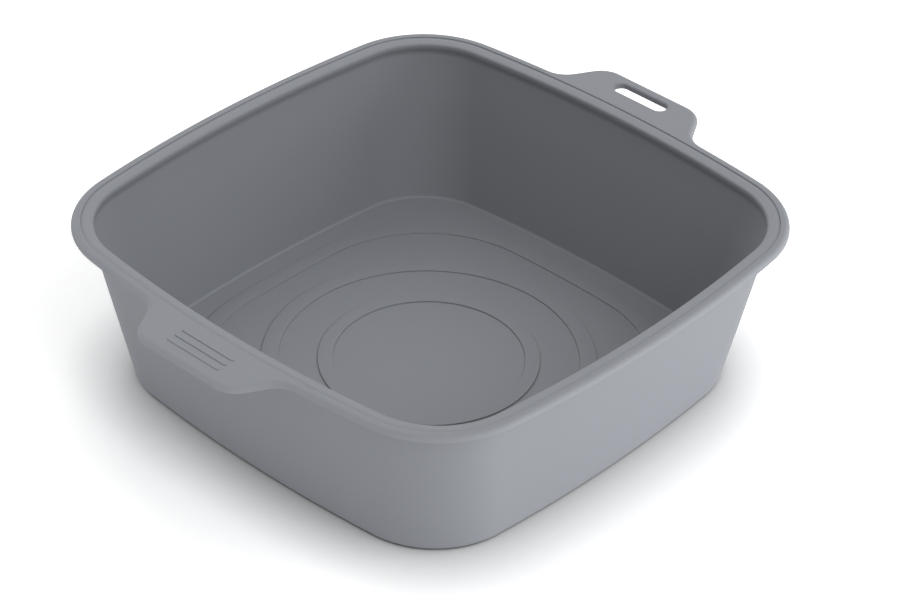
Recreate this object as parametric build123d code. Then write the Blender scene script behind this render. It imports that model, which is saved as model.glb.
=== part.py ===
"""Small moulded bathing basin: a soft square tub with bulging sides and two rim tabs.

Frame: millimetres, +Z up, origin on the ground under the centre of the basin.
+X points to the tab with the hanging slot, -X to the grip tab, +Y to the left side.
The basin is one flexible moulding. It is modelled as its functional regions, which
meet face to face: floor, side wall, rolled bead, flange halves, tabs, ridges and ribs.
"""
import os
from math import asin, atan2, cos, degrees, radians, sin, sqrt, tan

from build123d import *

# ---------------------------------------------------------------- driving dimensions
round_flats = 3               # every long round is cut as this many short flats

# Rim, seen from above
rim_half_width = 110.0        # centre to the lip's edge, at the middle of a side
rim_bulge = 10.6              # how far the middle of a side bows out
rim_corner_radius = 41.0

# Rim, in section
rim_height = 66.9             # ground to the top of the flange and tabs
flange_thickness = 2.5
flange_width = 3.6            # lip's edge to the step down to the bead
lip_round = 2.0               # on the upper edge of the lip and tabs
bead_width = 4.8              # step to the basin's mouth
bead_step = 0.55              # bead's outer edge below the flange
bead_dip = 0.2                # bead's crown below the flange
bead_crown = 2.2              # step to where the crown begins
bead_inner_round = 1.7
bead_skirt = 2.4              # upright band of the wall's inside, below the bead

# Side wall
base_half_width = 91.9        # sharp outline at the ground, at the middle of a side
base_bulge = 6.9
base_corner_radius = 35.2
wall_thickness = 1.8
heel_round = 2.5              # outside, wall to ground
cove_round = 1.9              # inside, wall to floor

# Floor and its raised ridges
floor_thickness = 2.0
ridge_height = 0.6
ridge_flank = 0.3             # how far each side of a ridge slopes in
inner_ridge_radius = 36.7     # to the ridge's inner edge
inner_ridge_width = 5.8
middle_ridge_radius = 57.6
middle_ridge_width = 6.5
outer_ridge_gap = 7.2         # from the cove's foot, at the middle of a side
outer_ridge_width = 6.5
outer_ridge_bulge = 5.0       # of its inner edge
outer_ridge_corner_radius = 52.0

# Tabs
tab_reach = 16.6              # tip beyond the lip's edge
tab_tip_width = 47.4          # across the tip's corners, before they are rounded
tab_flank_angle = 29.4        # each flank's lean from straight out, in degrees
tab_tip_round = 10.8
tab_root_round = 10.4

# Hanging slot
slot_length = 25.4
slot_width = 6.4
slot_rib = 4.8                # material between the slot and the tab's tip
slot_edge = 0.6               # broken edge round the slot

# Grip ribs
rib_count = 3
rib_length = 26.0
rib_width = 1.4
rib_pitch = 3.6
rib_height = 0.35


class BulgedSquare:
    """A square outline whose sides bow outwards and run tangent into round corners."""

    def __init__(self, half_width, bulge, corner_radius):
        self.half_width = half_width
        self.bulge = bulge
        self.corner_radius = corner_radius
        self.side_radius = half_width**2 / (2 * bulge)
        self.side_centre = half_width - self.side_radius
        # A corner arc touches the side arcs from inside, so the distance between their
        # centres is the difference of their radii.
        apart = self.side_radius - corner_radius
        self.corner_centre = (self.side_centre + sqrt(2 * apart**2 - self.side_centre**2)) / 2
        self.side_angle = degrees(atan2(self.corner_centre, self.corner_centre - self.side_centre))

    def inset(self, distance):
        """The parallel outline that lies inside this one by distance."""
        half_width = self.half_width - distance
        side_radius = self.side_radius - distance
        return BulgedSquare(half_width, half_width**2 / (2 * side_radius), self.corner_radius - distance)

    def toward(self, other, share):
        """The outline part of the way to another one: 0 is this one, 1 is the other."""
        return BulgedSquare(
            self.half_width + share * (other.half_width - self.half_width),
            self.bulge + share * (other.bulge - self.bulge),
            self.corner_radius + share * (other.corner_radius - self.corner_radius),
        )

    def arcs(self):
        """Centre, radius, start angle and sweep of each arc, anticlockwise from +X."""
        found = []
        for turn in (0, 90, 180, 270):
            side = Vector(self.side_centre, 0, 0).rotate(Axis.Z, turn)
            corner = Vector(self.corner_centre, self.corner_centre, 0).rotate(Axis.Z, turn)
            found.append((side, self.side_radius, turn - self.side_angle, 2 * self.side_angle))
            found.append((corner, self.corner_radius, turn + self.side_angle, 90 - 2 * self.side_angle))
        return found

    def face(self, height):
        """The outline filled in, at a height."""
        edges = [CenterArc(centre, radius, start, sweep) for centre, radius, start, sweep in self.arcs()]
        return Pos(0, 0, height) * Face(Wire(edges))

    def slab(self, bottom, top):
        """The outline filled in, between two heights."""
        return extrude(self.face(bottom), top - bottom, dir=(0, 0, 1))

    def ring(self, section):
        """A section carried all the way round the outline."""
        return carried_along(self.arcs(), section)


def carried_along(arcs, section):
    """A section revolved along arcs that run on from each other: its X is the way out."""
    pieces = []
    for centre, radius, start, sweep in arcs:
        placed = Pos(centre.X, centre.Y, 0) * Rot(0, 0, start) * Pos(radius, 0, 0) * section
        pieces.append(revolve(placed, Axis(centre, (0, 0, 1)), sweep))
    return pieces[0].fuse(*pieces[1:]).clean()


# ---------------------------------------------------------------- shared outlines and levels
rim = BulgedSquare(rim_half_width, rim_bulge, rim_corner_radius)
base = BulgedSquare(base_half_width, base_bulge, base_corner_radius)

flange_underside = rim_height - flange_thickness
crown_height = rim_height - bead_dip
skirt_bottom = flange_underside - bead_skirt

bead_foot = rim.inset(flange_width)             # where flange and bead meet, at the step
mouth = bead_foot.inset(bead_width)             # inside of the bead
wall_head = mouth.inset(-wall_thickness)        # outside of the wall, under the rim
flare = atan2(wall_head.half_width - base.half_width, flange_underside)   # the wall's lean

heel_top = heel_round * (1 - sin(flare))        # outside, where the heel runs into the wall
heel_line = base.toward(wall_head, heel_top / flange_underside)
foot = heel_line.inset(heel_round * cos(flare))

cove_rise = cove_round * (1 - sin(flare))       # inside, the same for the cove
floor_share = floor_thickness / flange_underside
cove = base.toward(wall_head, floor_share).inset(wall_thickness)
cove_line = cove.toward(mouth, cove_rise / (skirt_bottom - floor_thickness))
floor_plan = cove_line.inset(cove_round * cos(flare))

tab_tip = rim_half_width + tab_reach
tab_tip_half = tab_tip_width / 2
flank_lean = tan(radians(tab_flank_angle))
tab_root_half = tab_tip_half + tab_reach * flank_lean + tab_root_round   # half the lip a tab takes up
tab_angle = degrees(asin(tab_root_half / rim.side_radius))   # the same, as an angle of the side's arc


def top_face(solid):
    return solid.faces().sort_by(Axis.Z)[-1]


def bottom_face(solid):
    return solid.faces().sort_by(Axis.Z)[0]


def shoulder(radius, top):
    """An upper edge's round as (distance in, height) of its flats' ends, from the side up."""
    turns = [radians(90 * step / round_flats) for step in range(round_flats + 1)]
    return [(radius * (1 - cos(turn)), top - radius * (1 - sin(turn))) for turn in turns]


def swell(radius, bottom):
    """A lower edge's round, from the flat below to the lean of the wall: (distance in, height)."""
    turns = [(radians(90) - flare) * step / round_flats for step in range(round_flats + 1)]
    return [(-radius * sin(turn), bottom + radius * (1 - cos(turn))) for turn in turns]


def layered(plan, profile):
    """A plan built up in sloping layers through a profile of (distance in, height)."""
    levels = [Pos(0, 0, height) * (offset(plan, -inset) if inset else plan) for inset, height in profile]
    return loft(levels, ruled=True)


def closed_section(*corners):
    """A section given by its corners as (distance out, height)."""
    return Plane.XZ * make_face(Polyline(*corners, close=True))


# ---------------------------------------------------------------- floor and side wall
def make_floor():
    """The flat plate inside the cove."""
    return floor_plan.slab(0, floor_thickness)


def make_wall():
    """The flaring shell round the floor plate, from the ground to the underside of the rim."""
    heel = layered(foot.face(0), swell(heel_round, 0))
    outside = heel + loft([heel_line.face(heel_top), wall_head.face(flange_underside)], ruled=True)
    hollow = layered(floor_plan.face(0), swell(cove_round, floor_thickness))
    cove_top = floor_thickness + cove_rise
    hollow += loft([cove_line.face(cove_top), mouth.face(skirt_bottom)], ruled=True)
    return outside - hollow - mouth.slab(skirt_bottom, flange_underside) - make_floor()


# ---------------------------------------------------------------- floor ridges
def ridge_section(width):
    """A low bar with sloping sides on the floor, drawn inwards from its outer edge."""
    top = floor_thickness + ridge_height
    return closed_section(
        (0, floor_thickness), (-ridge_flank, top), (ridge_flank - width, top), (-width, floor_thickness)
    )


def make_round_ridge(inner_radius, width):
    return revolve(Pos(inner_radius + width, 0, 0) * ridge_section(width), Axis.Z)


def make_square_ridge():
    half_width = floor_plan.half_width - outer_ridge_gap - outer_ridge_width
    inner_edge = BulgedSquare(half_width, outer_ridge_bulge, outer_ridge_corner_radius)
    return inner_edge.inset(-outer_ridge_width).ring(ridge_section(outer_ridge_width))


# ---------------------------------------------------------------- rim
def make_bead():
    """The soft bead on the wall's head: it rises from the step and rounds over into the basin."""
    inner = [(inward - bead_width, height) for inward, height in shoulder(bead_inner_round, crown_height)]
    section = closed_section(
        (0, flange_underside), (0, rim_height - bead_step), (-bead_crown, crown_height),
        *reversed(inner), (-bead_width, flange_underside),
    )
    return bead_foot.ring(section)


def make_flange_halves():
    """The lip outside the bead, between the tabs: its left (+Y) and right (-Y) halves."""
    lip = [(-inward, height) for inward, height in shoulder(lip_round, rim_height)]
    section = closed_section(
        (0, flange_underside), *lip, (-flange_width, rim_height), (-flange_width, flange_underside)
    )
    front, corner, side, next_corner, back = rim.arcs()[:5]
    share = rim.side_angle - tab_angle
    from_tab = (front[0], rim.side_radius, tab_angle, share)
    to_tab = (back[0], rim.side_radius, 180 - rim.side_angle, share)
    left = carried_along([from_tab, corner, side, next_corner, to_tab], section)
    return left, Rot(0, 0, 180) * left


# ---------------------------------------------------------------- tabs
def tab_plan():
    """The whole rim's outline with the +X tab on it."""
    buried = mouth.half_width
    buried_half = tab_tip_half + (tab_tip - buried) * flank_lean
    corners = [(tab_tip, -tab_tip_half), (tab_tip, tab_tip_half), (buried, buried_half), (buried, -buried_half)]
    plan = (rim.face(0) + make_face(Polyline(*corners, close=True))).faces()[0]
    plan = plan.fillet_2d(tab_tip_round, plan.vertices().group_by(Axis.X)[-1])
    roots = [v for v in plan.vertices() if buried < v.X < rim_half_width and abs(v.Y) < buried_half]
    return plan.fillet_2d(tab_root_round, roots)


def tab_sector():
    """The wedge of the rim's +X side that a tab takes up, cut square to the lip."""
    far = 2 * rim.side_radius
    across = far * sin(radians(tab_angle))
    along = rim.side_centre + far * cos(radians(tab_angle))
    plan = make_face(Polyline((rim.side_centre, 0), (along, -across), (along, across), close=True))
    return extrude(plan, 2 * rim_height, dir=(0, 0, 1))


def make_tab():
    """The +X tab with its stretch of flange, from the foot of the bead to the tip."""
    profile = [(0, flange_underside), *shoulder(lip_round, rim_height)]
    tab = layered(tab_plan(), profile)
    tab -= bead_foot.slab(flange_underside, rim_height)
    return (tab & tab_sector()).solids().sort_by(Axis.X)[-1]


def make_hanging_tab():
    """The +X tab, with a slot to hang the basin on a hook or rail."""
    slot_middle = tab_tip - slot_rib - slot_width / 2
    slot = extrude(SlotOverall(slot_length, slot_width, rotation=90), flange_thickness, dir=(0, 0, 1))
    tab = (make_tab() - Pos(slot_middle, 0, flange_underside) * slot).solids()[0]
    slot_rims = top_face(tab).inner_wires()[0].edges() + bottom_face(tab).inner_wires()[0].edges()
    return tab.chamfer(slot_edge, None, slot_rims)


def make_grip_tab():
    """The -X tab, which is the same without the slot."""
    return Rot(0, 0, 180) * make_tab()


def make_grip_ribs():
    """Bars moulded on the grip tab so that a wet hand doesn't slip."""
    middle = -(rim_half_width + tab_tip - flange_width) / 2
    ribs = GridLocations(rib_pitch, 1, rib_count, 1)
    plan = Sketch() + [place * Rectangle(rib_width, rib_length) for place in ribs]
    return extrude(Pos(middle, 0, rim_height) * plan, rib_height, dir=(0, 0, 1))


# ---------------------------------------------------------------- assembly
flange_left, flange_right = make_flange_halves()
nodes = {
    "basin_floor": make_floor(),
    "basin_wall": make_wall(),
    "rim_bead": make_bead(),
    "rim_flange_left": flange_left,
    "rim_flange_right": flange_right,
    "hanging_tab": make_hanging_tab(),
    "grip_tab": make_grip_tab(),
    "grip_ribs": make_grip_ribs(),
    "floor_ridge_inner": make_round_ridge(inner_ridge_radius, inner_ridge_width),
    "floor_ridge_middle": make_round_ridge(middle_ridge_radius, middle_ridge_width),
    "floor_ridge_outer": make_square_ridge(),
}

os.makedirs("parts", exist_ok=True)
for name, shape in nodes.items():
    export_step(shape, f"parts/{name}.step")
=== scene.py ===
"""Small silicone bathing basin: a soft square tub with bulging sides and two rim tabs.

Lengths are written in millimetres and made metres as each piece is finished. Every piece
stands for the CAD node of the same region, with its rounds drawn fine.
"""
from math import asin, atan2, ceil, cos, degrees, radians, sin, sqrt, tan

import bmesh
import bpy
from mathutils import Matrix, Vector


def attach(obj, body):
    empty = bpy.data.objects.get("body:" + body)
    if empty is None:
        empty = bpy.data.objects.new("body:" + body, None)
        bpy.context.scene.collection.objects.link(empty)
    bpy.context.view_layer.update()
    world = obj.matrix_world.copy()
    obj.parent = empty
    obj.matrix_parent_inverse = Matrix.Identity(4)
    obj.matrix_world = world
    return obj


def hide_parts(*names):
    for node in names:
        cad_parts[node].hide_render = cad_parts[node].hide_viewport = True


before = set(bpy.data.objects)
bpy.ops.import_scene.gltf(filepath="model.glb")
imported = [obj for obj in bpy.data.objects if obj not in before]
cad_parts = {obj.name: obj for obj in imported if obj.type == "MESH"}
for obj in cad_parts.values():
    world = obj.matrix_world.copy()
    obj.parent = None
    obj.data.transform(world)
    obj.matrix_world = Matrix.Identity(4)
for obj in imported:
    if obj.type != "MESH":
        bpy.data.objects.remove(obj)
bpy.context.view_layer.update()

MM = 0.001

# ---------------------------------------------------------------- fineness of the meshes
SHARP = radians(32)           # edges that bend more than this stay crisp
BEND_STEP = 4.0               # most degrees of a bend per facet
SIDE_STEP = 4.5               # most millimetres of a bend per facet
ROUND_STEPS = 8               # facets in a rounded edge of a section
SIDE_FACETS = 12              # along a side of the wall and of the floor plate
CORNER_FACETS = 28            # round a corner of them
FOOT_STEPS = 10               # facets in the heel's and the cove's rounds
SKIRT_STEPS = 4               # facets in the round under the bead's skirt
SAME_POINT = 0.002            # points nearer than this become one
LOOP_END = 0.01               # the same for the two ends of an outline
SAME_LEVEL = 0.001            # heights nearer than this are one level
SAME_REACH = 1e-6             # the same for how far out a section's points are

# ---------------------------------------------------------------- sizes of the basin
RIM_HEIGHT = 66.9             # top of the flange and tabs
FLANGE_THICKNESS = 2.5
FLANGE_WIDTH = 3.6
LIP_ROUND = 2.0
LIP_UNDER_ROUND = 0.3
STEP_ROUND = 0.4              # flange's inner edge, where it steps down to the bead
BEAD_WIDTH = 4.8
BEAD_STEP = 0.55              # bead's outer edge below the flange
BEAD_DIP = 0.2                # bead's crest below the flange
BEAD_CREST = 1.0              # from the step to the crest
BEAD_CREST_ROUND = 0.9
BEAD_FALL = 0.55              # from the crest down to the inner edge
BEAD_INNER_ROUND = 0.9
BEAD_SKIRT = 2.4
SKIRT_RECESS = 0.7            # how far the wall starts behind the bead's inner edge
SKIRT_ROUND = 0.9
WALL_THICKNESS = 1.8
WALL_LEVELS = (14, 26, 38, 49)   # heights of the wall's rings of facets
ABOVE_HEEL = 4.3              # height of the ring that holds the heel's round
ABOVE_COVE = 5.4              # height of the ring that holds the cove's round
UNDER_RIM = 62                # height of the ring that holds the wall's outside under the rim
HEEL_ROUND = 2.5
COVE_ROUND = 1.1
COVE_MARGIN = 0.03            # flat left between the cove's round and the floor plate
FLOOR_THICKNESS = 2.0
RIDGE_HEIGHT = 0.6
RIDGE_ROUND = 0.22
INNER_RING_RADIUS = 36.7      # to the ridge's inner edge
INNER_RING_WIDTH = 5.8
MIDDLE_RING_RADIUS = 57.6
MIDDLE_RING_WIDTH = 6.5
OUTER_RING_HALF_WIDTH = 75.16    # to the ridge's inner edge, in the middle of a side
OUTER_RING_BULGE = 5.0
OUTER_RING_CORNER_RADIUS = 52.0
OUTER_RING_WIDTH = 6.5
TAB_REACH = 16.6
TAB_TIP_WIDTH = 47.4
TAB_FLANK_ANGLE = 29.4
TAB_TIP_ROUND = 10.8
TAB_ROOT_ROUND = 10.4
SLOT_LENGTH = 25.4
SLOT_WIDTH = 6.4
SLOT_RIB = 4.8
SLOT_EDGE_ROUND = 0.8
SLOT_UNDER_ROUND = 0.4
LIP_STRIP = 2.3               # widths of the strips that edge a tab's flat
STEP_STRIP = 0.6
SLOT_STRIP = 1.2
RIB_COUNT = 3
RIB_LENGTH = 26.0
RIB_WIDTH = 1.4
RIB_PITCH = 3.6
RIB_HEIGHT = 0.35
RIB_ROUND = 0.3

# ---------------------------------------------------------------- silicone and studio
LEAST_ROUGH = 0.58
ROUGH_SPREAD = 0.08           # how much rougher the cloudiest spots are
SKY_LIGHT = 0.37              # strength of the even light from all round
FLOOR_REACH = 4.0             # metres from the middle of the floor to its edge
FLOOR_DROP = 0.0002           # metres from the basin's foot down to the floor
FLOOR_GREY = 0.92             # the floor's grey as it lights the basin
FLOOR_WHITE = 1.36            # the floor's grey as the camera sees it, which runs out to white
PAINTED_SHADE_REACH = 0.028           # metres from the basin's foot to where the painted shade on the floor ends
PAINTED_SHADE_DEPTH = 0.82            # a higher power darkens the painted shade close to the foot
LAMP_DISTANCE = 1.5           # metres, which makes no difference to a sun lamp's light
BOX_LENGTH = 1.4              # metres, as are the next three
BOX_DEPTH = 0.05
BOX_HEIGHT = 0.03             # its middle above the floor
BOX_DISTANCE = 1.2            # from the middle of the basin
CAMERA_AZIMUTH = -47.376      # degrees, as are the next two
CAMERA_ELEVATION = 35.517
CAMERA_ROLL = 1.329
CAMERA_PLACE = (0.007535, 0.023034, 1.24377)   # metres to the right, up and back from the aim
CAMERA_AIM_HEIGHT = 0.0011
SENSOR_WIDTH = 36             # millimetres, as is the focal length
FOCAL_LENGTH = 130.4344


class BulgedSquare:
    """A square outline whose sides bow outwards and run tangent into round corners."""

    def __init__(self, half_width, bulge, corner_radius):
        self.half_width = half_width
        self.bulge = bulge
        self.corner_radius = corner_radius
        self.side_radius = half_width**2 / (2 * bulge)
        self.side_centre = half_width - self.side_radius
        apart = self.side_radius - corner_radius
        corner_centre = (self.side_centre + sqrt(2 * apart**2 - self.side_centre**2)) / 2
        self.side_angle = degrees(atan2(corner_centre, corner_centre - self.side_centre))

    def inset(self, distance):
        """The outline a distance further in all round."""
        half_width = self.half_width - distance
        side_radius = self.side_radius - distance
        bulge = half_width**2 / (2 * side_radius)
        return BulgedSquare(half_width, bulge, self.corner_radius - distance)

    def toward(self, other, share):
        """The outline a share of the way from this one to another."""
        return BulgedSquare(
            self.half_width + share * (other.half_width - self.half_width),
            self.bulge + share * (other.bulge - self.bulge),
            self.corner_radius + share * (other.corner_radius - self.corner_radius),
        )

    def on_side(self, angle):
        """The point of the +X side at an angle of its arc, and the heading there."""
        out = Vector((cos(radians(angle)), sin(radians(angle)), 0))
        return Vector((self.side_centre, 0, 0)) + self.side_radius * out, angle + 90

    def bends(self):
        """All eight bends, anticlockwise from the right-hand end of the +X side."""
        side = (self.side_radius, 2 * self.side_angle)
        corner = (self.corner_radius, 90 - 2 * self.side_angle)
        return [side, corner] * 4

    def start(self):
        """The right-hand end of the +X side, and the heading there."""
        return self.on_side(-self.side_angle)


rim = BulgedSquare(half_width=110.0, bulge=10.6, corner_radius=41.0)
base = BulgedSquare(half_width=91.9, bulge=6.9, corner_radius=35.2)
bead_foot = rim.inset(FLANGE_WIDTH)
mouth = bead_foot.inset(BEAD_WIDTH)
wall_head = mouth.inset(-WALL_THICKNESS)
underside = RIM_HEIGHT - FLANGE_THICKNESS
skirt_bottom = underside - BEAD_SKIRT
recess = mouth.inset(-SKIRT_RECESS)
cove = base.toward(wall_head, FLOOR_THICKNESS / underside).inset(WALL_THICKNESS)
flare = atan2(wall_head.half_width - base.half_width, underside)
ease = 1 / tan((radians(90) + flare) / 2)      # reach of a round of 1 mm from the wall's foot
floor_plan = cove.inset(COVE_ROUND * ease + COVE_MARGIN)

tab_root_half = TAB_TIP_WIDTH / 2 + TAB_REACH * tan(radians(TAB_FLANK_ANGLE)) + TAB_ROOT_ROUND
tab_angle = degrees(asin(tab_root_half / rim.side_radius))


# ---------------------------------------------------------------- mesh helpers
def section(bm, corners, open_end=False):
    """A closed section from corners of (out, height, round); open_end drops its innermost side."""
    face = bm.faces.new([bm.verts.new((out, 0, height)) for out, height, _ in corners])
    for vert, (_, _, radius) in zip(list(face.verts), corners):
        if radius:
            bmesh.ops.bevel(
                bm, geom=[vert], offset=radius, offset_type="OFFSET", segments=ROUND_STEPS,
                profile=0.5, affect="VERTICES", material=-1,
            )
    bmesh.ops.delete(bm, geom=bm.faces[:], context="FACES_ONLY")
    if open_end:
        limit = min(vert.co.x for vert in bm.verts) + SAME_REACH
        ends = [edge for edge in bm.edges if all(vert.co.x < limit for vert in edge.verts)]
        bmesh.ops.delete(bm, geom=ends, context="EDGES")
    return bm.edges[:]


def place_section(bm, start, heading):
    """Stands a fresh section at the start of its path, square to the heading."""
    turn = Matrix.Rotation(radians(heading - 90), 4, "Z")
    bmesh.ops.transform(bm, matrix=Matrix.Translation(start) @ turn, verts=bm.verts)


def carry(bm, edges, start, heading, moves):
    """Carries edges along moves: (length, 0) goes straight on, (radius, turn) bends aside."""
    here = Vector(start)
    for size, turn in moves:
        ahead = Vector((cos(radians(heading)), sin(radians(heading)), 0))
        if turn:
            left = Vector((-ahead.y, ahead.x, 0))
            centre = here + left * (size if turn > 0 else -size)
            steps = ceil(max(abs(turn) / BEND_STEP, abs(radians(turn)) * size / SIDE_STEP))
            verts = list({vert for edge in edges for vert in edge.verts})
            swept = bmesh.ops.spin(
                bm, geom=verts + list(edges), cent=centre, axis=(0, 0, 1),
                angle=radians(turn), steps=steps,
            )["geom_last"]
            here = centre + Matrix.Rotation(radians(turn), 3, "Z") @ (here - centre)
            heading += turn
        else:
            swept = bmesh.ops.extrude_edge_only(bm, edges=list(edges))["geom"]
            moved = [item for item in swept if isinstance(item, bmesh.types.BMVert)]
            bmesh.ops.translate(bm, vec=ahead * size, verts=moved)
            here += ahead * size
        edges = [item for item in swept if isinstance(item, bmesh.types.BMEdge)]


def close_up(bm):
    """Joins what meets, fills what is open and turns every face outwards."""
    bmesh.ops.remove_doubles(bm, verts=bm.verts, dist=SAME_POINT)
    rims = [edge for edge in bm.edges if edge.is_boundary]
    if rims:
        bmesh.ops.holes_fill(bm, edges=rims)
    bmesh.ops.recalc_face_normals(bm, faces=bm.faces)


def swept_bar(corners, start, heading, moves):
    """A bar of closed section along a path; a path that ends where it starts makes a ring."""
    bm = bmesh.new()
    edges = section(bm, corners)
    place_section(bm, start, heading)
    carry(bm, edges, start, heading, moves)
    close_up(bm)
    return bm


def add_strip(bm, corners, start, heading, moves):
    """Adds an edge strip, open on its inner side, to a mesh that plates will complete."""
    strip = bmesh.new()
    edges = section(strip, corners, open_end=True)
    place_section(strip, start, heading)
    carry(strip, edges, start, heading, moves)
    holder = bpy.data.meshes.new("strip")
    strip.to_mesh(holder)
    strip.free()
    bm.from_mesh(holder)
    bpy.data.meshes.remove(holder)


def outline_loop(bm, outline, height):
    """One closed line of edges along an outline."""
    start, heading = outline.start()
    here = start + Vector((0, 0, height))
    lead = bm.verts.new(here)
    before = set(bm.edges)
    geom = [lead]
    for (radius, turn), steps in zip(outline.bends(), (SIDE_FACETS, CORNER_FACETS) * 4):
        left = Vector((-sin(radians(heading)), cos(radians(heading)), 0))
        spun = bmesh.ops.spin(
            bm, geom=geom, cent=here + left * radius, axis=(0, 0, 1),
            angle=radians(turn), steps=steps,
        )["geom_last"]
        geom = [item for item in spun if isinstance(item, bmesh.types.BMVert)]
        here = geom[0].co.copy()
        heading += turn
    bmesh.ops.remove_doubles(bm, verts=[lead, geom[0]], dist=LOOP_END)
    return [edge for edge in bm.edges if edge not in before]


# ---------------------------------------------------------------- materials
class Value:
    """A number in a material's node tree; arithmetic on it adds Math nodes."""

    def __init__(self, tree, socket):
        self.tree = tree
        self.socket = socket

    def math(self, operation, other):
        node = self.tree.nodes.new("ShaderNodeMath")
        node.operation = operation
        for socket, value in zip(node.inputs, (self, other)):
            if isinstance(value, Value):
                self.tree.links.new(value.socket, socket)
            else:
                socket.default_value = value
        return Value(self.tree, node.outputs[0])

    def __add__(self, other):
        return self.math("ADD", other)

    def __mul__(self, other):
        return self.math("MULTIPLY", other)

    __radd__ = __add__
    __rmul__ = __mul__


class Recipe:
    """The node tree of a material or of the world."""

    def __init__(self, owner):
        owner.use_nodes = True
        self.tree = owner.node_tree
        self.tree.nodes.clear()

    def node(self, kind, settings=None, **sockets):
        """A node with its settings made first, then its sockets' values or links by name."""
        node = self.tree.nodes.new("ShaderNode" + kind)
        for name, value in (settings or {}).items():
            setattr(node, name, value)
        for name, value in sockets.items():
            label = name.replace("_", " ")
            socket = next(item for item in node.inputs if item.name == label and item.enabled)
            if isinstance(value, Value):
                value = value.socket
            if isinstance(value, bpy.types.NodeSocket):
                self.tree.links.new(value, socket)
            else:
                socket.default_value = value
        return node

    def value(self, kind, output, settings=None, **sockets):
        """One output of a new node, ready for arithmetic."""
        return Value(self.tree, self.node(kind, settings, **sockets).outputs[output])

    def mix(self, share, first, second):
        """Two shaders in one: the first where the share is 0, the second where it is 1."""
        mixed = self.node("MixShader", Fac=share)
        self.tree.links.new(first, mixed.inputs[1])
        self.tree.links.new(second, mixed.inputs[2])
        return mixed.outputs["Shader"]


def silicone_rubber():
    """Matte grey silicone: even colour, with a faint cloudiness and a fine moulded skin."""
    material = bpy.data.materials.new("matte grey silicone")
    recipe = Recipe(material)
    place = recipe.node("TexCoord").outputs["Object"]
    cloud = recipe.value("TexNoise", "Fac", Vector=place, Scale=22.0, Detail=3.0, Roughness=0.5)
    grain = recipe.value("TexNoise", "Fac", Vector=place, Scale=2600.0, Detail=2.0, Roughness=0.6)
    colour = recipe.node(
        "Mix", {"data_type": "RGBA"},
        Factor=cloud, A=(0.226, 0.236, 0.256, 1), B=(0.236, 0.246, 0.267, 1),
    )
    # A Mix node keeps its colour in its third output.
    bump = recipe.node("Bump", Strength=0.06, Distance=0.00006, Height=grain)
    shader = recipe.node(
        "BsdfPrincipled", Base_Color=colour.outputs[2], Roughness=cloud * ROUGH_SPREAD + LEAST_ROUGH,
        IOR=1.41, Specular_IOR_Level=0.35, Normal=bump.outputs["Normal"],
    )
    recipe.node("OutputMaterial", Surface=shader.outputs["BSDF"])
    return material


silicone = silicone_rubber()


# ---------------------------------------------------------------- pieces
def finish_piece(bm, name, node):
    """Makes a finished mesh the shown form of a CAD node."""
    bmesh.ops.scale(bm, vec=(MM, MM, MM), verts=bm.verts)
    mesh = bpy.data.meshes.new(name)
    bm.to_mesh(mesh)
    bm.free()
    mesh.shade_smooth()
    mesh.set_sharp_from_angle(angle=SHARP)
    mesh.materials.append(silicone)
    piece = bpy.data.objects.new(name, mesh)
    bpy.context.scene.collection.objects.link(piece)
    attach(piece, "root")
    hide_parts(node)


def half_turn(bm):
    """Turns a mesh to the opposite side of the basin."""
    about = Matrix.Rotation(radians(180), 3, "Z")
    bmesh.ops.rotate(bm, cent=(0, 0, 0), matrix=about, verts=bm.verts)
    return bm


def add_floor():
    """The flat plate inside the cove."""
    bm = bmesh.new()
    lower = outline_loop(bm, floor_plan, 0)
    upper = outline_loop(bm, floor_plan, FLOOR_THICKNESS)
    bmesh.ops.bridge_loops(bm, edges=lower + upper)
    close_up(bm)
    finish_piece(bm, "floor_plate", "basin_floor")


def between(low, low_height, high, high_height, height):
    """The outline part of the way up a wall, and its height."""
    return low.toward(high, (height - low_height) / (high_height - low_height)), height


def add_wall():
    """The flaring wall, with its heel outside and its cove inside."""
    outside = [
        between(base, 0, wall_head, underside, height)
        for height in (ABOVE_HEEL, *WALL_LEVELS, UNDER_RIM)
    ]
    inside = [
        between(cove, FLOOR_THICKNESS, mouth, skirt_bottom, height)
        for height in (ABOVE_COVE, *WALL_LEVELS)
    ]
    levels = [
        (floor_plan, 0), (base, 0), *outside, (wall_head, underside), (mouth, underside),
        (recess, skirt_bottom), *reversed(inside), (cove, FLOOR_THICKNESS),
        (floor_plan, FLOOR_THICKNESS),
    ]
    bm = bmesh.new()
    loops = [outline_loop(bm, outline, height) for outline, height in levels]
    for loop, next_loop in zip(loops, loops[1:] + loops[:1]):
        bmesh.ops.bridge_loops(bm, edges=loop + next_loop)
    heel = loops[1]
    foot_of_cove = loops[-2]
    under_skirt = loops[levels.index((recess, skirt_bottom))]
    rounds = (
        (heel, HEEL_ROUND * ease, FOOT_STEPS),
        (foot_of_cove, COVE_ROUND * ease, FOOT_STEPS),
        (under_skirt, SKIRT_ROUND, SKIRT_STEPS),
    )
    for edges, radius, steps in rounds:
        bmesh.ops.bevel(
            bm, geom=edges, offset=radius, offset_type="OFFSET", segments=steps, profile=0.5,
            affect="EDGES", material=-1,
        )
    close_up(bm)
    finish_piece(bm, "side_wall", "basin_wall")


def add_bead():
    """The soft bead round the mouth: it rises from the step and rounds over into the basin."""
    crest = RIM_HEIGHT - BEAD_DIP
    corners = [
        (0, underside, 0), (0, RIM_HEIGHT - BEAD_STEP, 0), (-BEAD_CREST, crest, BEAD_CREST_ROUND),
        (-BEAD_WIDTH, crest - BEAD_FALL, BEAD_INNER_ROUND), (-BEAD_WIDTH, underside, 0),
    ]
    bead = swept_bar(corners, *bead_foot.start(), bead_foot.bends())
    finish_piece(bead, "mouth_bead", "rim_bead")


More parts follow.
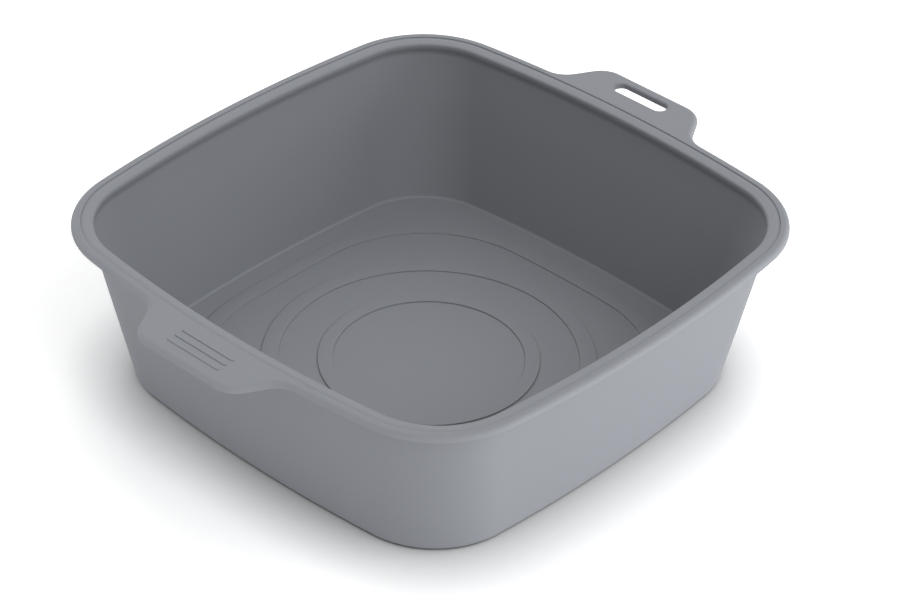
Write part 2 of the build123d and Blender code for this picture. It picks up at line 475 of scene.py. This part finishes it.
def add_flange_halves():
    """The lip outside the bead, between the tabs."""
    corners = [
        (0, underside, LIP_UNDER_ROUND), (0, RIM_HEIGHT, LIP_ROUND),
        (-FLANGE_WIDTH, RIM_HEIGHT, STEP_ROUND), (-FLANGE_WIDTH, underside, 0),
    ]
    side, corner = rim.bends()[:2]
    part_side = (rim.side_radius, rim.side_angle - tab_angle)
    moves = [part_side, corner, side, corner, part_side]
    left = swept_bar(corners, *rim.on_side(tab_angle), moves)
    right = half_turn(swept_bar(corners, *rim.on_side(tab_angle), moves))
    finish_piece(left, "flange_left", "rim_flange_left")
    finish_piece(right, "flange_right", "rim_flange_right")


def tab_moves():
    """The way along the lip and round the +X tab, anticlockwise."""
    lean = radians(TAB_FLANK_ANGLE)
    tip = Vector((rim.half_width + TAB_REACH - rim.side_centre, TAB_TIP_WIDTH / 2))
    down_flank = Vector((-cos(lean), sin(lean)))
    away = Vector((sin(lean), cos(lean)))
    # The root's round touches the flank and the lip, so its centre is this far from the arc's.
    reach = rim.side_radius + TAB_ROOT_ROUND
    above = tip + away * TAB_ROOT_ROUND
    along = above.dot(down_flank)
    flank = -along - sqrt(along**2 - above.length_squared + reach**2)
    root = above + down_flank * flank
    root_angle = degrees(atan2(root.y, root.x))
    tip_turn = 90 - TAB_FLANK_ANGLE
    tip_reach = TAB_TIP_ROUND * tan(radians(tip_turn) / 2)
    half = [
        (rim.side_radius, tab_angle - root_angle), (TAB_ROOT_ROUND, root_angle - tip_turn),
        (flank - tip_reach, 0), (TAB_TIP_ROUND, tip_turn),
    ]
    return [*half, (TAB_TIP_WIDTH - 2 * tip_reach, 0), *reversed(half)]


def plate_over(bm, height):
    """Fills the flat between the strips of a tab at a height."""
    def level(vert):
        return abs(vert.co.z - height) < SAME_LEVEL

    open_edges = [edge for edge in bm.edges if edge.is_boundary]
    edges = [edge for edge in open_edges if all(level(vert) for vert in edge.verts)]
    count = {}
    for edge in edges:
        for vert in edge.verts:
            count[vert] = count.get(vert, 0) + 1
    ends = sorted((vert for vert in count if count[vert] == 1), key=lambda vert: vert.co.y)
    edges += [bm.edges.new(pair) for pair in (ends[:2], ends[2:])]
    bmesh.ops.triangle_fill(bm, use_beauty=True, use_dissolve=False, edges=edges)


def tab_mesh(slotted):
    """The +X tab with its stretch of flange, from the foot of the bead to the tip."""
    bm = bmesh.new()
    lip = [
        (0, underside, LIP_UNDER_ROUND), (0, RIM_HEIGHT, LIP_ROUND),
        (-LIP_STRIP, RIM_HEIGHT, 0), (-LIP_STRIP, underside, 0),
    ]
    add_strip(bm, lip, *rim.on_side(-tab_angle), tab_moves())
    step = [
        (0, underside, 0), (0, RIM_HEIGHT, STEP_ROUND),
        (-STEP_STRIP, RIM_HEIGHT, 0), (-STEP_STRIP, underside, 0),
    ]
    start, heading = bead_foot.on_side(tab_angle)
    add_strip(bm, step, start, heading + 180, [(bead_foot.side_radius, -2 * tab_angle)])
    if slotted:
        edge = [
            (0, underside, SLOT_UNDER_ROUND), (0, RIM_HEIGHT, SLOT_EDGE_ROUND),
            (-SLOT_STRIP, RIM_HEIGHT, 0), (-SLOT_STRIP, underside, 0),
        ]
        straight = SLOT_LENGTH - SLOT_WIDTH
        start = Vector((rim.half_width + TAB_REACH - SLOT_RIB, straight / 2, 0))
        add_strip(bm, edge, start, -90, [(straight, 0), (SLOT_WIDTH / 2, -180)] * 2)
    bmesh.ops.remove_doubles(bm, verts=bm.verts, dist=SAME_POINT)
    plate_over(bm, RIM_HEIGHT)
    plate_over(bm, underside)
    close_up(bm)
    return bm


def add_tabs():
    """The slotted tab at +X and the plain one opposite."""
    finish_piece(tab_mesh(slotted=True), "hanging_tab_skin", "hanging_tab")
    finish_piece(half_turn(tab_mesh(slotted=False)), "grip_tab_skin", "grip_tab")


def add_grip_ribs():
    """Three low bars across the grip tab."""
    middle = -(2 * rim.half_width + TAB_REACH - FLANGE_WIDTH) / 2
    straight = RIB_LENGTH - RIB_WIDTH
    half = RIB_WIDTH / 2
    top = RIM_HEIGHT + RIB_HEIGHT
    corners = [(0, RIM_HEIGHT, 0), (0, top, RIB_ROUND), (-half, top, 0), (-half, RIM_HEIGHT, 0)]
    bm = bmesh.new()
    for number in range(RIB_COUNT):
        across = middle + (number - (RIB_COUNT - 1) / 2) * RIB_PITCH
        start = Vector((across + half, -straight / 2, 0))
        add_strip(bm, corners, start, 90, [(straight, 0), (half, 180)] * 2)
    close_up(bm)
    finish_piece(bm, "grip_bars", "grip_ribs")


def add_ridges():
    """The low raised lines on the floor: two circles and a bulged square round them."""
    top = FLOOR_THICKNESS + RIDGE_HEIGHT

    def corners(width):
        return [
            (0, FLOOR_THICKNESS, 0), (0, top, RIDGE_ROUND),
            (-width, top, RIDGE_ROUND), (-width, FLOOR_THICKNESS, 0),
        ]

    circles = (
        ("inner_ring", "floor_ridge_inner", INNER_RING_RADIUS, INNER_RING_WIDTH),
        ("middle_ring", "floor_ridge_middle", MIDDLE_RING_RADIUS, MIDDLE_RING_WIDTH),
    )
    for name, node, inner, width in circles:
        outer = inner + width
        ring = swept_bar(corners(width), Vector((outer, 0, 0)), 90, [(outer, 360)])
        finish_piece(ring, name, node)
    inside = BulgedSquare(OUTER_RING_HALF_WIDTH, OUTER_RING_BULGE, OUTER_RING_CORNER_RADIUS)
    outside = inside.inset(-OUTER_RING_WIDTH)
    ring = swept_bar(corners(OUTER_RING_WIDTH), *outside.start(), outside.bends())
    finish_piece(ring, "outer_ring", "floor_ridge_outer")


add_floor()
add_wall()
add_bead()
add_flange_halves()
add_tabs()
add_grip_ribs()
add_ridges()


# ---------------------------------------------------------------- studio
def add_ground():
    """A pale floor that runs out to white and keeps the basin's soft shadow; as the camera sees it,
    painted shade also darkens it close to the basin's foot.
    """
    bm = bmesh.new()
    bmesh.ops.create_grid(bm, x_segments=1, y_segments=1, size=FLOOR_REACH)
    mesh = bpy.data.meshes.new("ground")
    bm.to_mesh(mesh)
    bm.free()
    ground = bpy.data.objects.new("ground", mesh)
    ground.location.z = -FLOOR_DROP
    bpy.context.scene.collection.objects.link(ground)
    material = bpy.data.materials.new("pale floor")
    recipe = Recipe(material)
    path = recipe.node("LightPath")
    # Painted shade: ambient occlusion darkens the floor the camera sees close to the basin's foot.
    painted_contact_shade = recipe.value("AmbientOcclusion", "AO", {"samples": 16}, Distance=PAINTED_SHADE_REACH)
    plain, shade, bright = (
        recipe.node("BsdfDiffuse", Color=(grey, grey, grey, 1)).outputs["BSDF"]
        for grey in (FLOOR_GREY, 0, FLOOR_WHITE)
    )
    seen = recipe.mix(painted_contact_shade.math("POWER", PAINTED_SHADE_DEPTH), shade, bright)
    shader = recipe.mix(path.outputs["Is Camera Ray"], plain, seen)
    recipe.node("OutputMaterial", Surface=shader)
    mesh.materials.append(material)


def add_lamp(name, azimuth, elevation, spread, strength):
    """A far lamp at an azimuth and elevation; its spread, also in degrees, softens shadows."""
    lamp = bpy.data.lights.new(name, "SUN")
    lamp.angle = radians(spread)
    lamp.energy = strength
    holder = bpy.data.objects.new(name, lamp)
    tilt = Matrix.Rotation(radians(90 - elevation), 4, "X")
    turn = Matrix.Rotation(radians(azimuth), 4, "Z") @ tilt
    holder.matrix_world = turn @ Matrix.Translation((0, 0, LAMP_DISTANCE))
    bpy.context.scene.collection.objects.link(holder)


def add_strip_box(name, azimuth, power):
    """A long flat box on the floor, lower than the rim, that lights the outside of the wall."""
    lamp = bpy.data.lights.new(name, "AREA")
    lamp.shape = "RECTANGLE"
    lamp.size = BOX_LENGTH
    lamp.size_y = BOX_DEPTH
    lamp.energy = power
    holder = bpy.data.objects.new(name, lamp)
    turn = Matrix.Rotation(radians(azimuth), 4, "Z") @ Matrix.Rotation(radians(90), 4, "X")
    lift = Matrix.Translation((0, 0, BOX_HEIGHT))
    holder.matrix_world = lift @ turn @ Matrix.Translation((0, 0, BOX_DISTANCE))
    holder.visible_camera = False
    bpy.context.scene.collection.objects.link(holder)


def add_sky():
    """Even light from all round, seen and mirrored as white."""
    world = bpy.data.worlds.new("studio")
    recipe = Recipe(world)
    path = recipe.node("LightPath")
    seen = Value(recipe.tree, path.outputs["Is Camera Ray"])
    for kind in ("Is Glossy Ray", "Is Transmission Ray"):
        seen = seen + Value(recipe.tree, path.outputs[kind])
    strength = seen.math("MINIMUM", 1) * (1 - SKY_LIGHT) + SKY_LIGHT
    sky = recipe.node("Background", Color=(1, 1, 1, 1), Strength=strength)
    recipe.node("OutputWorld", Surface=sky.outputs[0])
    bpy.context.scene.world = world


def add_camera():
    """A long lens that looks down on the basin over its near corner."""
    tilt = Matrix.Rotation(radians(90 - CAMERA_ELEVATION), 3, "X")
    aim = Matrix.Rotation(radians(CAMERA_AZIMUTH), 3, "Z") @ tilt
    place = aim @ Vector(CAMERA_PLACE) + Vector((0, 0, CAMERA_AIM_HEIGHT))
    camera = bpy.data.cameras.new("camera")
    camera.sensor_width = SENSOR_WIDTH
    camera.lens = FOCAL_LENGTH
    camera.clip_start = 0.1
    camera.clip_end = 20
    holder = bpy.data.objects.new("camera", camera)
    turned = aim @ Matrix.Rotation(radians(CAMERA_ROLL), 3, "Z")
    holder.matrix_world = Matrix.Translation(place) @ turned.to_4x4()
    bpy.context.scene.collection.objects.link(holder)
    bpy.context.scene.camera = holder


add_ground()
# Each lamp has its azimuth, elevation, spread and strength.
add_lamp("front", 0, 40, 36, 0.75)
add_lamp("right", 45, 22, 30, 0.54)
add_lamp("back", 135, 40, 36, 0.48)
add_lamp("low_back", 180, 22, 30, 0.51)
add_lamp("overhead", 0, 88, 120, 0.84)
# Each box has its azimuth and power.
add_strip_box("right_strip", 30, 10.4)
add_strip_box("left_strip", 270, 3.3)
add_sky()
add_camera()
bpy.context.scene.view_settings.view_transform = "Standard"
